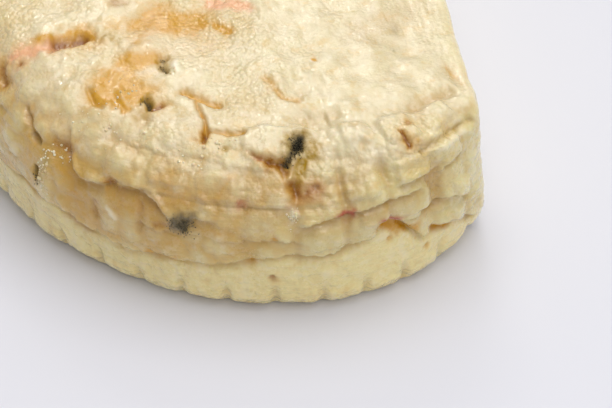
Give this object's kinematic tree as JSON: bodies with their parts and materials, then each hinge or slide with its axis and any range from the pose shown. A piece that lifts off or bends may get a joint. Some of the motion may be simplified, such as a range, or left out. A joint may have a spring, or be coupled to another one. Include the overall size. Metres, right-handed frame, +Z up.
{
  "type": "half wheel of basket-moulded cheese",
  "caption": "Half wheel of soft pale cheese with a woven basket print round its rind, lying flat, stained and spotted with mould on top.",
  "frame": {"origin": "centre of the bounding box of the underside, on the table", "axes": "+Z up; +Y along the cut, the longest way; +X out of the cut face, so the rind bulges towards -X"},
  "size_m": [0.164, 0.294, 0.05],
  "materials": {
    "cheese_rind": "moist, softly glossy cream-yellow curd"
  },
  "bodies": {
    "root": {"cheese_half_wheel": "cheese_rind"}
  },
  "joints": []
}
